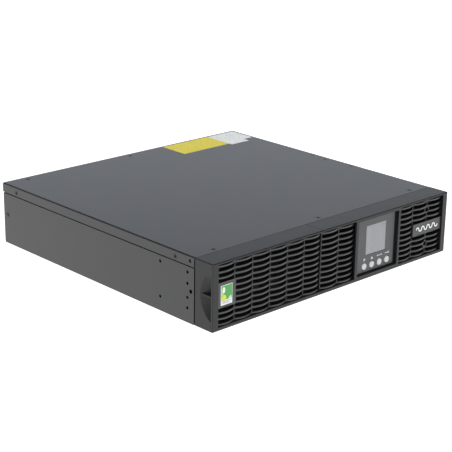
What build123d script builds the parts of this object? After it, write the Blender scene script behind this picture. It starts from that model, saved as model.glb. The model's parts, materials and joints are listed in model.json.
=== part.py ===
from build123d import *
import os
from math import cos, radians, sin

# A 2U rack or tower uninterruptible power supply. Millimetres.
# Origin: centre of the footprint at the underside. +X is right seen from the front,
# the front faces -Y and +Z is up. "Depth" is measured back from the bezel's front face.

# ---- Driving dimensions ----
WIDTH = 438.0                    # body width of 19-inch rack equipment
HEIGHT = 86.5                    # 2U less clearance
BODY_DEPTH = 430.0               # bezel face to the cover's rear edge
REAR_PROUD = 5.0                 # how far the breaker button stands behind the body
FRONT_Y = -(BODY_DEPTH + REAR_PROUD) / 2
HALF_W = WIDTH / 2
SHEET = 1.2                      # steel thickness of the case

# bezel and its louvres
BEZEL_DEPTH = 31.0
BEZEL_WALL = 2.5
BEZEL_FACE_T = 3.0
BEZEL_EDGE_R = 1.2
SEAM_X = -31.0                   # joint between the battery cover and the fixed bezel
SEAM_GAP = 0.6
WINDOW_Z = (4.4, 83.9)           # grille windows, lower and upper edge
COVER_COLUMNS = (-209.7, -179.9, -150.2, -120.4, -90.7, -60.9, -32.7)
MIDDLE_COLUMNS = (-29.1, 2.4, 32.0)
RIGHT_COLUMNS = (120.1, 150.0, 180.0, 209.9)
LOUVRE_PITCH = 7.42
LOUVRE_COUNT = 11
LOUVRE_T = 3.0
LOUVRE_EDGE_R = 1.0
LOUVRE_MID_DEPTH = 1.2
LOUVRE_END_DEPTH = 4.5
LOUVRE_BACK_DEPTH = 10.0
COVER_LOUVRE_Z = 6.0             # centre of the lowest slat on the battery cover
BEZEL_LOUVRE_Z = 6.3             # and on the fixed bezel
RIB_T = 0.9
RIB_FRONT_DEPTH = 4.2
RIB_BACK_DEPTH = 12.0
END_RIB_DEPTH = 7.0

# badge on the battery cover, wave mark on the fixed bezel
BADGE_PLATE = (-209.7, -179.9, 27.4, 59.7)
BADGE_SIZE = (18.7, 25.2)
BADGE_CENTRE = (-195.0, 43.1)
MARK_PLATE = (150.0, 209.9, 35.3, 52.4)
MARK_CENTRE = (179.4, 43.8)
PLATE_DEPTH = 2.0

# finger recess in both ends of the bezel
GRIP_EDGE_DEPTH = 2.9
GRIP_SAGITTA = 18.9
GRIP_CHORD = 63.6
GRIP_CENTRE_Z = 44.4
GRIP_CONE = 14.0                 # depth that the scoop's cone would reach at the lip
GRIP_FLOOR = 8.0                 # flat floor that cuts the cone off
GRIP_BACKING = 9.0               # wall thickness behind the recess, from the outside

# display module
DISPLAY_X = 76.5
DISPLAY_Z = 43.9
DISPLAY_SIDE = 72.2
DISPLAY_BODY_SIDE = 68.5
DISPLAY_FACE_DEPTH = 4.0
DISPLAY_BODY_BACK = 24.0
DISPLAY_WALL = 2.0
RECESS_WIDTH = 79.4
RECESS_HEIGHT = 75.8
RECESS_FLOOR_DEPTH = 5.2
WINDOW_SIZE = (39.8, 40.7)
WINDOW_CENTRE_Z = 50.8
BUTTON_XS = tuple(DISPLAY_X + 0.7 + 15.0 * k for k in (-1.5, -0.5, 0.5, 1.5))
BUTTON_Z = 15.8
BUTTON_R = 4.5
BUTTON_HOLE_R = 5.3
BUTTON_PROUD = 0.8
BUTTON_TRAVEL = 0.6

# case
LID_FRONT_DEPTH = 31.6
LID_SKIRT_Z = 73.8
LID_BEND_R = 2.0
SIDE_FRONT_DEPTH = 32.9
SIDE_BACK_DEPTH = 429.0
SIDE_TOP_Z = 72.3
FRONT_PLATE = (31.2, 32.4)       # depth range of the front plate
REAR_PANEL = (426.8, 428.0)      # depth range of the rear panel
FLANGE_TOP = HEIGHT - SHEET

# battery bay and tray
BAY_OPENING = (-206.1, -50.9, 1.2, 77.0)
TRAY = (-205.7, -51.3, 2.8)      # left, right, underside
TRAY_PLATE = (-215.8, -41.2, 2.8, 78.2)
TRAY_BACK_DEPTH = 352.0
TRAY_WALL_Z = 40.0
BATTERY = (151.0, 94.0, 65.0)    # width, depth, height of a 12 V 9 Ah block lying on its side
BATTERY_LID = 6.0
BATTERY_PITCH = 100.0
BATTERY_FIRST_DEPTH = 34.0
DIVIDER_X = -42.0
BULKHEAD_DEPTH = 357.0
LEAD_R = 1.9
PLUG_X = -128.5
PLUG_Z = 46.0
THUMB_SCREW_XS = (-211.0, -46.0)
THUMB_SCREW_Z = 40.0

# rack ear holes, M4, in both sides
EAR_DEPTHS = (44.7, 94.7)
EAR_ZS = (19.0, 65.0)
EAR_MIDDLE_ZS = (32.5, 50.5)
EAR_HOLE_R = 2.0

# rear panel equipment, seen in part coordinates
FAN_X = 168.0
FAN_Z = 42.7
FAN_SIDE = 80.0
FAN_HOLE_SPACING = 71.5
FAN_DEPTHS = (401.8, 426.8)
OUTLET_XS = (-4.0, 32.0, 68.0, 104.0)
UPPER_ROW_Z = 60.0
LOWER_ROW_Z = 27.0
INLET_X = -46.0
SOCKET_FLANGE = (33.0, 26.0)
SOCKET_BODY = (30.0, 22.0)
SLOT_COVER = (-168.0, 62.0, 76.0, 32.0)
SERIAL_X = -180.0
USB_X = -146.0
NETWORK_X = -112.0
PORT_BOARD_Z = 19.0

# power electronics
BOARD = (-36.0, 210.0, 60.0, 395.0)
BOARD_Z = (9.2, 10.8)


# ---- Small builders ----
def at(x, depth, z):
    """A place given by its depth behind the bezel face."""
    return Pos(x, FRONT_Y + depth, z)


def block(xs, depths, zs):
    """A box between pairs of x, depth and z."""
    centre = at((xs[0] + xs[1]) / 2, (depths[0] + depths[1]) / 2, (zs[0] + zs[1]) / 2)
    return centre * Box(xs[1] - xs[0], depths[1] - depths[0], zs[1] - zs[0])


def centred(x, z, width, height, depths):
    """A box of a given width and height about a point of the front view."""
    return block((x - width / 2, x + width / 2), depths, (z - height / 2, z + height / 2))


def rod_y(x, z, depths, radius):
    """A round bar or hole along the depth."""
    middle = (depths[0] + depths[1]) / 2
    return at(x, middle, z) * Rot(90, 0, 0) * Cylinder(radius, depths[1] - depths[0])


def rod_x(xs, depth, z, radius):
    """A round bar or hole across the body."""
    return at((xs[0] + xs[1]) / 2, depth, z) * Rot(0, 90, 0) * Cylinder(radius, xs[1] - xs[0])


def rod_z(x, depth, zs, radius):
    """A round bar or hole standing up."""
    return at(x, depth, (zs[0] + zs[1]) / 2) * Cylinder(radius, zs[1] - zs[0])


def edges_along(shape, axis):
    """The shape's straight edges along one axis."""
    return shape.edges().filter_by(axis)


def soft_centred(x, z, width, height, depths, radius):
    """A centred box whose four edges along the depth are rounded."""
    solid = centred(x, z, width, height, depths)
    return fillet(edges_along(solid, Axis.Y), radius)


def slot_y(x, z, width, height, depths):
    """An upright hole with round ends through the depth."""
    half = height / 2 - width / 2
    hole = block((x - width / 2, x + width / 2), depths, (z - half, z + half))
    return hole + [rod_y(x, z + side * half, depths, width / 2) for side in (-1, 1)]


def wire(route, radius, bend):
    """A round lead along straight runs joined by tangent arcs."""
    points = [Vector(x, FRONT_Y + depth, z) for x, depth, z in route]
    path = FilletPolyline(*points, radius=bend)
    section = Plane(origin=path @ 0, z_dir=path % 0) * Circle(radius)
    return sweep(section, path=path)


def countersunk_screw(head_r, shank_r, length):
    """A flush screw, its face on the XY plane and its shank down -Z."""
    head_h = head_r - shank_r
    head = Pos(0, 0, -head_h / 2) * Cone(shank_r, head_r, head_h)
    shank = Pos(0, 0, -length / 2) * Cylinder(shank_r, length)
    return head + shank - cross_recess(head_r, 1.2)


def pan_screw(head_r, head_h, shank_r, length):
    """A raised round-headed screw seated on the XY plane, shank down -Z."""
    head = Pos(0, 0, head_h / 2) * Cylinder(head_r, head_h)
    head = fillet(head.edges().sort_by(Axis.Z)[-1:], head_h * 0.45)
    shank = Pos(0, 0, -length / 2) * Cylinder(shank_r, length)
    return head + shank - Pos(0, 0, head_h) * cross_recess(head_r, head_h * 0.6)


def cross_recess(head_r, depth):
    """The cross-shaped driver recess cut down from the XY plane."""
    arm = Box(head_r * 1.1, head_r * 0.26, 2 * depth)
    return arm + Rot(0, 0, 90) * arm


def countersink(head_r, shank_r, length):
    """The hole that a countersunk screw sits in, with a little clearance."""
    head_h = head_r - shank_r
    gap = 0.05
    cone = Pos(0, 0, -head_h / 2) * Cone(shank_r + gap, head_r + gap, head_h)
    return cone + Pos(0, 0, -length / 2) * Cylinder(shank_r + gap, length)


OUT_LEFT = Rot(0, -90, 0)        # turns a +Z fastener to face -X
OUT_RIGHT = Rot(0, 90, 0)        # to face +X
OUT_FRONT = Rot(90, 0, 0)        # to face -Y
OUT_REAR = Rot(-90, 0, 0)        # to face +Y

CASE_HEAD_R = 3.6
CASE_SHANK_R = 1.9
CASE_SCREW_LENGTH = 3.7


def case_screw_places():
    """Every flush screw of the case: the cover, its skirts and the rear corners."""
    places = [at(x, 39.4, HEIGHT) for x in (-182.0, 1.0, 184.0)]
    places += [at(x, 420.0, HEIGHT) for x in (-184.0, 0.0, 183.0)]
    for depth in (66.8, 397.5):
        places.append(at(-HALF_W, depth, 78.7) * OUT_LEFT)
        places.append(at(HALF_W, depth, 78.7) * OUT_RIGHT)
    places.append(at(-HALF_W, 420.0, 42.5) * OUT_LEFT)
    places.append(at(HALF_W, 420.0, 42.5) * OUT_RIGHT)
    return places


def case_screw_holes():
    hole = countersink(CASE_HEAD_R, CASE_SHANK_R, CASE_SCREW_LENGTH + 1)
    return [place * hole for place in case_screw_places()]


# ---- Sheet-metal case ----
def ear_hole_places():
    """Depth and height of each rack ear hole on one side."""
    corners = [(depth, z) for depth in EAR_DEPTHS for z in EAR_ZS]
    return corners + [(EAR_DEPTHS[0], z) for z in EAR_MIDDLE_ZS]


def chassis_base():
    """Floor and both sides in one folded sheet, joggled in behind the cover's skirts."""
    depths = (SIDE_FRONT_DEPTH, SIDE_BACK_DEPTH)
    base = block((-HALF_W, HALF_W), depths, (0, SHEET))
    for side in (-1, 1):
        outer = side * HALF_W
        inner = side * (HALF_W - SHEET)
        step = side * (HALF_W - SHEET - 0.2)
        step_in = side * (HALF_W - 2 * SHEET - 0.2)
        lip = side * (HALF_W - 12)
        base += block(sorted((outer, inner)), depths, (0, SIDE_TOP_Z))
        base += block(sorted((inner, step_in)), depths, (69.6, 70.8))
        base += block(sorted((step, step_in)), depths, (69.6, FLANGE_TOP))
        base += block(sorted((step, lip)), depths, (FLANGE_TOP - SHEET, FLANGE_TOP))
    # the folded-in sides' top corners are rounded to clear the inside of the cover's bends
    corners = edges_along(base, Axis.Y).group_by(Axis.Z)[-1].sort_by(Axis.X)
    base = fillet([corners[0], corners[-1]], 1.0)
    # runners embossed in the floor for the battery tray, clear of the tray by 0.3
    for x in (-190.0, -128.5, -67.0):
        base += block((x - 5, x + 5), (40, 345), (SHEET, 2.5))
    holes = case_screw_holes()
    for depth, z in ear_hole_places():
        holes.append(rod_x((-HALF_W - 1, HALF_W + 1), depth, z, EAR_HOLE_R))
    holes.append(rod_x((-HALF_W - 1, HALF_W + 1), 38.7, 41.6, 2.6))
    return base - holes


def front_plate():
    """Inner steel front: battery opening, air slots and the display lead's window."""
    xs = (-HALF_W + 2.6, HALF_W - 2.6)
    plate = block(xs, FRONT_PLATE, (1.4, FLANGE_TOP - 0.4))
    flange_zs = (FLANGE_TOP - 2 * SHEET - 0.1, FLANGE_TOP - SHEET - 0.1)
    plate += block((xs[0] + 1.4, xs[1] - 1.4), (FRONT_PLATE[0], 45), flange_zs)
    plate += block((-38, xs[1]), (FRONT_PLATE[0], 45), (1.4, 2.6))
    through = (FRONT_PLATE[0] - 1, FRONT_PLATE[1] + 1)
    cuts = [block(BAY_OPENING[:2], through, (0, BAY_OPENING[3]))]
    cuts.append(centred(DISPLAY_X, DISPLAY_Z, 42, 42, through))
    for row in (17.0, 43.25, 69.5):
        cuts += [slot_y(x, row, 3.6, 20, through) for x in range(-20, 31, 7)]
        cuts += [slot_y(x, row, 3.6, 20, through) for x in range(127, 174, 7)]
        cuts += [slot_y(x, row, 3.6, 20, through) for x in range(191, 206, 7)]
    cuts += [centred(x, z, 9, 5, through) for x, z in COVER_PEGS]
    cuts += [rod_y(x, THUMB_SCREW_Z, through, 2.2) for x in THUMB_SCREW_XS]
    cuts += [rod_y(BEZEL_SCREW_X, z, through, 1.75) for z in BEZEL_SCREW_ZS]
    return plate - cuts - case_screw_holes()


def rear_openings():
    """Everything that passes through the rear panel."""
    through = (REAR_PANEL[0] - 1, REAR_PANEL[1] + 1)
    body = (SOCKET_BODY[0] + 0.2, SOCKET_BODY[1] + 0.2)
    cuts = [centred(x, z, *body, through) for x in OUTLET_XS for z in (UPPER_ROW_Z, LOWER_ROW_Z)]
    cuts.append(centred(INLET_X, UPPER_ROW_Z, *body, through))
    cuts.append(rod_y(INLET_X, LOWER_ROW_Z, through, 8.1))
    cuts.append(rod_y(FAN_X, FAN_Z, through, 38.0))
    cuts += [rod_y(x, z, through, 1.75) for x, z in rear_screw_places()]
    cuts.append(centred(SERIAL_X, PORT_BOARD_Z + 8.4, 31.4, 12.9, through))
    cuts.append(centred(USB_X, PORT_BOARD_Z + 7.1, 12.4, 11.4, through))
    cuts.append(centred(NETWORK_X, PORT_BOARD_Z + 8.6, 32.4, 14.2, through))
    x, z, width, height = SLOT_COVER
    cuts.append(centred(x, z, width - 18, height - 6, through))
    cuts += [slot_y(x, UPPER_ROW_Z + 2, 3.6, 28, through) for x in range(-114, -70, 7)]
    return cuts


def rear_panel():
    """Steel rear wall with flanges to the cover, the floor and both sides."""
    half = HALF_W - SHEET - 0.2
    top = FLANGE_TOP - SHEET - 0.1
    panel = block((-half, half), REAR_PANEL, (1.4, top))
    flange = (413.0, REAR_PANEL[1])
    panel += block((-half, half), flange, (top - SHEET, top))
    panel += block((-206, 206), REAR_PANEL, (top, FLANGE_TOP))
    panel += block((-half, half), flange, (1.4, 2.6))
    for side in (-1, 1):
        edge = sorted((side * half, side * (half - SHEET)))
        panel += block(edge, flange, (1.4, 68.0))
    panel = panel - rear_openings() - case_screw_holes()
    # clearance for the base's folded-in side edges at the upper corners
    for side in (-1, 1):
        corner = sorted((side * (half + 1), side * (HALF_W - 2 * SHEET - 0.4)))
        panel -= block(corner, (412, 429), (69.4, HEIGHT))
    return panel


def top_cover():
    """The lid: a folded sheet with a short skirt down each side."""
    depths = (LID_FRONT_DEPTH, BODY_DEPTH)
    outer = block((-HALF_W, HALF_W), depths, (LID_SKIRT_Z, HEIGHT))
    outer = fillet(edges_along(outer, Axis.Y).sort_by(Axis.Z)[-2:], LID_BEND_R)
    inner_half = HALF_W - SHEET
    inner = block((-inner_half, inner_half), (LID_FRONT_DEPTH - 1, BODY_DEPTH + 1), (60, FLANGE_TOP))
    inner = fillet(edges_along(inner, Axis.Y).sort_by(Axis.Z)[-2:], LID_BEND_R - SHEET)
    lid = outer - inner - case_screw_holes()
    # the skirts start a little further back than the top
    skirt_zs = (LID_SKIRT_Z - 1, HEIGHT - LID_BEND_R)
    lid -= block((-HALF_W - 1, HALF_W + 1), (LID_FRONT_DEPTH - 1, SIDE_FRONT_DEPTH), skirt_zs)
    lid -= rod_x((-HALF_W - 1, HALF_W + 1), 39.9, 80.2, 2.3)
    # three blind dimples near the right edge
    for x, depth in ((211.0, 248.0), (208.0, 220.0), (211.0, 171.0)):
        lid -= rod_z(x, depth, (HEIGHT - 0.5, HEIGHT + 1), 2.0)
    return lid


def bay_divider():
    """Wall beside the battery bay, with its rear bulkhead and fixing feet."""
    top = 80.0
    wall = (DIVIDER_X, DIVIDER_X + SHEET)
    divider = block(wall, (34, BULKHEAD_DEPTH + SHEET), (SHEET, top))
    divider += block((-214, wall[1]), (BULKHEAD_DEPTH, BULKHEAD_DEPTH + SHEET), (SHEET, top))
    divider += block((wall[0], wall[0] + 8), (60, 330), (SHEET, 2 * SHEET))
    divider += block((-214, wall[0]), (BULKHEAD_DEPTH, BULKHEAD_DEPTH + 12), (SHEET, 2 * SHEET))
    divider -= centred(PLUG_X, PLUG_Z, 44.2, 18.2, (350, 370))
    return divider


def top_labels():
    """Three thin stickers at the rear right of the cover."""
    zs = (HEIGHT, HEIGHT + 0.1)
    yellow = block((68.6, 159.8), (375.9, 426.4), zs)
    white = block((160.0, 196.1), (369.6, 426.4), zs)
    small = block((196.3, 213.6), (381.0, 426.4), zs)
    return Compound([yellow, white, small])


def case_screws():
    screw = countersunk_screw(CASE_HEAD_R, CASE_SHANK_R, CASE_SCREW_LENGTH)
    return Compound([place * screw for place in case_screw_places()])


def ear_nuts():
    """Round clinch nuts behind the rack ear holes."""
    nuts = []
    for side in (-1, 1):
        inner = side * (HALF_W - SHEET)
        xs = sorted((inner, inner - side * 3.0))
        for depth, z in ear_hole_places():
            bore = rod_x((xs[0] - 1, xs[1] + 1), depth, z, EAR_HOLE_R)
            nuts.append(rod_x(xs, depth, z, 3.8) - bore)
    return Compound(nuts)


# ---- Bezel ----
PEG_SIZE = (8.4, 4.0)
COVER_PEGS = ((-188.0, 80.6), (-78.0, 80.6), (-36.3, 16.0), (-36.3, 66.0))
BEZEL_SCREW_X = 180.0
BEZEL_SCREW_ZS = (19.0, 68.3)
INSIDE_Z = (BEZEL_WALL, HEIGHT - BEZEL_WALL)


def bezel_shell(xs, seam_side):
    """An open-backed moulding, its outer front and end edges rounded."""
    shell = block(xs, (0, BEZEL_DEPTH), (0, HEIGHT))
    seam_x = xs[1] if seam_side > 0 else xs[0]
    front = shell.faces().sort_by(Axis.Y)[0].edges()
    ends = edges_along(shell, Axis.Y)
    rounded = [edge for edge in list(front) + list(ends) if abs(edge.center().X - seam_x) > 1]
    shell = fillet(rounded, BEZEL_EDGE_R)
    inner_xs = (xs[0] + BEZEL_WALL, xs[1] - BEZEL_WALL)
    return shell - block(inner_xs, (BEZEL_FACE_T, 60), INSIDE_Z)


def grip_cone(side):
    """The scooped part of the finger recess: a cone whose axis lies across the body."""
    radius = (GRIP_CHORD ** 2 / 4 + GRIP_SAGITTA ** 2) / (2 * GRIP_SAGITTA)
    centre_depth = GRIP_EDGE_DEPTH + GRIP_SAGITTA - radius
    slope = GRIP_SAGITTA / GRIP_CONE
    height = radius / slope
    cone = Cone(radius, 0.01, height)
    turn = Rot(0, 90, 0) if side < 0 else Rot(0, -90, 0)
    cone = at(side * (HALF_W - height / 2), centre_depth, GRIP_CENTRE_Z) * turn * cone
    floor = side * (HALF_W - GRIP_FLOOR)
    keep = block(sorted((floor, side * 300)), (GRIP_EDGE_DEPTH, 60), (0, HEIGHT))
    return cone & keep


def with_grip(shell, side):
    """Thickens the end wall, scoops the finger recess into it and adds its web."""
    outer = side * HALF_W
    boss_zs = (GRIP_CENTRE_Z - 35, GRIP_CENTRE_Z + 35)
    boss = block(sorted((outer - side * 1.0, outer - side * GRIP_BACKING)), (1.0, 24), boss_zs)
    scooped = (shell + boss) - grip_cone(side)
    web_xs = sorted((outer - side * 0.5, outer - side * (GRIP_FLOOR + 0.5)))
    web = block(web_xs, (GRIP_EDGE_DEPTH, 21), (GRIP_CENTRE_Z - 0.6, GRIP_CENTRE_Z + 0.6))
    return scooped + web


def battery_cover():
    """The left part of the bezel, which pulls off to reach the battery tray."""
    cover = bezel_shell((-HALF_W, SEAM_X - SEAM_GAP / 2), 1)
    left = COVER_COLUMNS[0]
    right = COVER_COLUMNS[-1]
    cover += block((right, SEAM_X - SEAM_GAP / 2), (RIB_FRONT_DEPTH, BEZEL_DEPTH), (0, HEIGHT))
    cover -= block((left, right), (-1, BEZEL_FACE_T + 0.01), WINDOW_Z)
    cover -= block((right, 0), (-1, RIB_BACK_DEPTH), WINDOW_Z)
    cover -= block((right - 2, right), (BEZEL_FACE_T, 60), INSIDE_Z)
    cover = with_grip(cover, -1)
    # pegs that press through the front plate, each on a root from the nearest wall
    for x, z in COVER_PEGS:
        cover += centred(x, z, *PEG_SIZE, (20, 36))
        if z > 70:
            cover += block((x - 4, x + 4), (20, 30.5), (z, HEIGHT - 1))
        else:
            cover += block((x, right + 0.5), (20, 30.5), (z - 1.5, z + 1.5))
    return cover


def louvre_slat(width, centre_z):
    """One cell's slat: its front edge bulges forward, and is rounded above and below."""
    half = width / 2
    left = (-half, LOUVRE_END_DEPTH)
    right = (half, LOUVRE_END_DEPTH)
    front = ThreePointArc(left, (0, LOUVRE_MID_DEPTH), right)
    back = Polyline(right, (half, LOUVRE_BACK_DEPTH), (-half, LOUVRE_BACK_DEPTH), left)
    slat = extrude(make_face([front, back]), LOUVRE_T)
    slat = fillet(slat.edges().filter_by(GeomType.CIRCLE), LOUVRE_EDGE_R)
    return Pos(0, FRONT_Y, centre_z - LOUVRE_T / 2) * slat


def grille(columns, lowest_z):
    """Slats between upright ribs, which reach up behind the window's upper edge."""
    rib_places = [(x, RIB_FRONT_DEPTH) for x in columns[1:-1]]
    rib_places.append((columns[0] + RIB_T / 2, END_RIB_DEPTH))
    rib_places.append((columns[-1] - RIB_T / 2, END_RIB_DEPTH))
    ribs = []
    for x, front in rib_places:
        xs = (x - RIB_T / 2, x + RIB_T / 2)
        ribs.append(block(xs, (front, RIB_BACK_DEPTH), (WINDOW_Z[0], INSIDE_Z[1])))
    slats = []
    for left, right in zip(columns, columns[1:]):
        slat = louvre_slat(right - left, lowest_z)
        middle = (left + right) / 2
        slats += [Pos(middle, 0, LOUVRE_PITCH * row) * slat for row in range(LOUVRE_COUNT)]
    return ribs[0] + (ribs[1:] + slats)


def plate_on(panel, plate):
    """Swaps the slats behind a blank plate for the plate itself."""
    left, right, low, high = plate
    panel -= block((left, right), (0, LOUVRE_BACK_DEPTH + 3), (low, high))
    face = block((left, right), (PLATE_DEPTH, PLATE_DEPTH + 2.5), (low, high))
    rim = block((left, right), (PLATE_DEPTH, RIB_BACK_DEPTH), (low, high))
    rim -= block((left + 1.5, right - 1.5), (PLATE_DEPTH + 1, 60), (low + 1.5, high - 1.5))
    return panel + [face, rim]


def cover_grille():
    panel = grille(COVER_COLUMNS, COVER_LOUVRE_Z)
    return plate_on(panel, BADGE_PLATE)


def middle_grille():
    return grille(MIDDLE_COLUMNS, BEZEL_LOUVRE_Z)


def right_grille():
    """The right intake, with the mark's plate and the two screw wells."""
    panel = grille(RIGHT_COLUMNS, BEZEL_LOUVRE_Z)
    panel = plate_on(panel, MARK_PLATE)
    wells = [rod_y(BEZEL_SCREW_X, z, (RIB_FRONT_DEPTH, 31.1), 4.6) for z in BEZEL_SCREW_ZS]
    bores = [rod_y(BEZEL_SCREW_X, z, (0, 29.0), 3.25) for z in BEZEL_SCREW_ZS]
    shanks = [rod_y(BEZEL_SCREW_X, z, (0, 40.0), 1.6) for z in BEZEL_SCREW_ZS]
    return panel + wells - (bores + shanks)


def front_bezel():
    """The fixed right part of the bezel, with the display recess and two windows."""
    bezel = bezel_shell((SEAM_X + SEAM_GAP / 2, HALF_W), -1)
    for columns in (MIDDLE_COLUMNS, RIGHT_COLUMNS):
        bezel -= block((columns[0], columns[-1]), (-1, BEZEL_FACE_T + 0.01), WINDOW_Z)
    # the upright wall at the seam is thin, and set back inside the window
    left = MIDDLE_COLUMNS[0]
    bezel -= block((SEAM_X, left), (-1, RIB_FRONT_DEPTH), WINDOW_Z)
    bezel -= block((left, left + 2), (BEZEL_FACE_T, 60), INSIDE_Z)
    tub_depths = (1, RECESS_FLOOR_DEPTH + BEZEL_WALL)
    tub = centred(DISPLAY_X, DISPLAY_Z, RECESS_WIDTH + 4, RECESS_HEIGHT + 4, tub_depths)
    pocket_depths = (-1, RECESS_FLOOR_DEPTH)
    pocket = soft_centred(DISPLAY_X, DISPLAY_Z, RECESS_WIDTH, RECESS_HEIGHT, pocket_depths, 1.5)
    hole_side = DISPLAY_BODY_SIDE + 1
    hole = centred(DISPLAY_X, DISPLAY_Z, hole_side, hole_side, (0, 20))
    bezel = (bezel + tub) - [pocket, hole]
    return with_grip(bezel, 1)


def badge():
    """The blank sticker on the battery cover's plate."""
    x, z = BADGE_CENTRE
    return centred(x, z, *BADGE_SIZE, (PLATE_DEPTH - 0.4, PLATE_DEPTH))


def wave_mark():
    """A raised alternating-current wave of equal half circles, in place of a name."""
    half_waves = 8
    pitch = 5.6
    thickness = 1.5
    outer = (pitch + thickness) / 2
    inner = (pitch - thickness) / 2
    bars = []
    for k in range(half_waves):
        ring = Circle(outer) - Circle(inner)
        rise = 1 if k % 2 == 0 else -1
        half = ring & Pos(0, rise * outer) * Rectangle(2 * outer, 2 * outer)
        bars.append(Pos((k - (half_waves - 1) / 2) * pitch, 0) * half)
    wave = extrude(bars[0] + bars[1:], 0.5)
    return at(MARK_CENTRE[0], PLATE_DEPTH, MARK_CENTRE[1]) * OUT_FRONT * wave


def bezel_screws():
    screw = pan_screw(3.0, 2.2, 1.6, 8.0)
    return Compound([at(BEZEL_SCREW_X, 29.0, z) * OUT_FRONT * screw for z in BEZEL_SCREW_ZS])


# ---- Display module ----
def display_housing():
    """Square open-backed case with the screen window and four button holes."""
    x = DISPLAY_X
    z = DISPLAY_Z
    face = (DISPLAY_FACE_DEPTH, RECESS_FLOOR_DEPTH)
    flange = soft_centred(x, z, DISPLAY_SIDE, DISPLAY_SIDE, face, 1.5)
    flange = fillet(flange.faces().sort_by(Axis.Y)[0].edges(), 0.6)
    body_depths = (face[0] + 1, DISPLAY_BODY_BACK)
    body = centred(x, z, DISPLAY_BODY_SIDE, DISPLAY_BODY_SIDE, body_depths)
    inside = DISPLAY_BODY_SIDE - 2 * DISPLAY_WALL
    housing = flange + body - centred(x, z, inside, inside, (face[0] + 2, 60))
    housing -= centred(x, WINDOW_CENTRE_Z, *WINDOW_SIZE, (0, 20))
    housing -= [rod_y(button_x, BUTTON_Z, (0, 20), BUTTON_HOLE_R) for button_x in BUTTON_XS]
    for post_x in (x - 29, x + 29):
        for post_z in (z - 18, z + 29):
            post = rod_y(post_x, post_z, (face[0] + 2, 14), 2.6)
            housing += post - rod_y(post_x, post_z, (8, 15), 1.0)
    return housing


def display_window():
    """Clear lens that fills the window, bonded to the front of the screen."""
    width, height = WINDOW_SIZE
    return centred(DISPLAY_X, WINDOW_CENTRE_Z, width - 0.2, height - 0.2, (4.3, 5.3))


def display_panel():
    """Liquid-crystal screen: its front stands in the window, its wider back behind the face."""
    width, height = WINDOW_SIZE
    screen = centred(DISPLAY_X, WINDOW_CENTRE_Z, width - 0.6, height - 0.6, (5.35, 8))
    return screen + centred(DISPLAY_X, WINDOW_CENTRE_Z, 45, 46, (7.4, 10.4))


def display_board():
    """Circuit board behind the screen, with the lead's socket on its back."""
    board = centred(DISPLAY_X, DISPLAY_Z, 63.6, 63.6, (14.0, 15.6))
    return Compound([board, centred(DISPLAY_X, 30.0, 24, 6, (15.6, 19.0))])


def display_switches():
    """Tactile switches on the board, one behind each button."""
    switches = []
    for x in BUTTON_XS:
        switches.append(centred(x, BUTTON_Z, 6, 6, (10.4, 14.0)) + rod_y(x, BUTTON_Z, (9.6, 10.5), 1.75))
    return Compound(switches)


def button(x):
    """Round cap with a retaining flange behind the face and a stem to its switch."""
    front = DISPLAY_FACE_DEPTH - BUTTON_PROUD
    cap = rod_y(x, BUTTON_Z, (front, 6.4), BUTTON_R)
    cap = fillet(cap.edges().sort_by(Axis.Y)[:1], 0.5)
    # the flange's lower edge is cut flat to clear the housing's wall, which also stops it turning
    floor_z = DISPLAY_Z - DISPLAY_BODY_SIDE / 2 + DISPLAY_WALL
    flange = rod_y(x, BUTTON_Z, (6.2, 7.0), BUTTON_HOLE_R + 0.8)
    flange -= block((x - 10, x + 10), (6, 8), (0, floor_z + 0.4))
    stem = rod_y(x, BUTTON_Z, (6.9, 9.6 - BUTTON_TRAVEL - 0.05), 1.75)
    return cap + flange + stem


def display_ribbon():
    """Flat lead from the display board back to the control board's header."""
    route = [(19.0, 30.0), (27.0, 30.0), (36.0, 44.0), (44.0, 44.0)]
    points = [Vector(DISPLAY_X, FRONT_Y + depth, z) for depth, z in route]
    path = FilletPolyline(*points, radius=6)
    section = Plane(origin=path @ 0, x_dir=(1, 0, 0), z_dir=path % 0) * Rectangle(20, 1)
    ribbon = sweep(section, path=path)
    return Compound([ribbon, centred(DISPLAY_X, 44.0, 22, 5, (44.0, 46.8))])


# ---- Battery tray ----
def battery_tray():
    """Folded tray with a front plate that closes the battery opening."""
    left, right, low = TRAY
    tray = block((left, right), (FRONT_PLATE[0] - SHEET, TRAY_BACK_DEPTH), (low, low + SHEET))
    for xs in ((left, left + SHEET), (right - SHEET, right)):
        tray += block(xs, (FRONT_PLATE[0] - SHEET, TRAY_BACK_DEPTH), (low, TRAY_WALL_Z))
    tray += block((left, right), (TRAY_BACK_DEPTH - SHEET, TRAY_BACK_DEPTH), (low, 58))
    plate_xs = TRAY_PLATE[:2]
    tray += block(plate_xs, (FRONT_PLATE[0] - SHEET, FRONT_PLATE[0]), TRAY_PLATE[2:])
    tray -= centred(PLUG_X, PLUG_Z, 44.2, 18.2, (TRAY_BACK_DEPTH - 5, TRAY_BACK_DEPTH + 5))
    tray -= [rod_y(x, THUMB_SCREW_Z, (20, 40), 2.2) for x in THUMB_SCREW_XS]
    return tray


def tray_handle():
    """Bent wire pull on the tray's front plate."""
    half = 40.0
    plate_depth = FRONT_PLATE[0] - SHEET
    route = [(PLUG_X - half, plate_depth, 40), (PLUG_X - half, 16.5, 40), (PLUG_X + half, 16.5, 40),
             (PLUG_X + half, plate_depth, 40)]
    bar = wire(route, 2.5, 6)
    feet = [rod_y(PLUG_X + side * half, 40, (plate_depth - 1.2, plate_depth), 5.0) for side in (-1, 1)]
    return bar + feet


def terminal_place(row, side):
    """Front-view x and depth of a terminal on battery number row."""
    middle = (TRAY[0] + TRAY[1]) / 2
    return middle + side * 66.0, BATTERY_FIRST_DEPTH + BATTERY_PITCH * row + BATTERY[1]


def blade_tip(row, side):
    """Front-view x and depth of the lead standing on a terminal blade."""
    x, depth = terminal_place(row, side)
    return x, depth + 2.9


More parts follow.
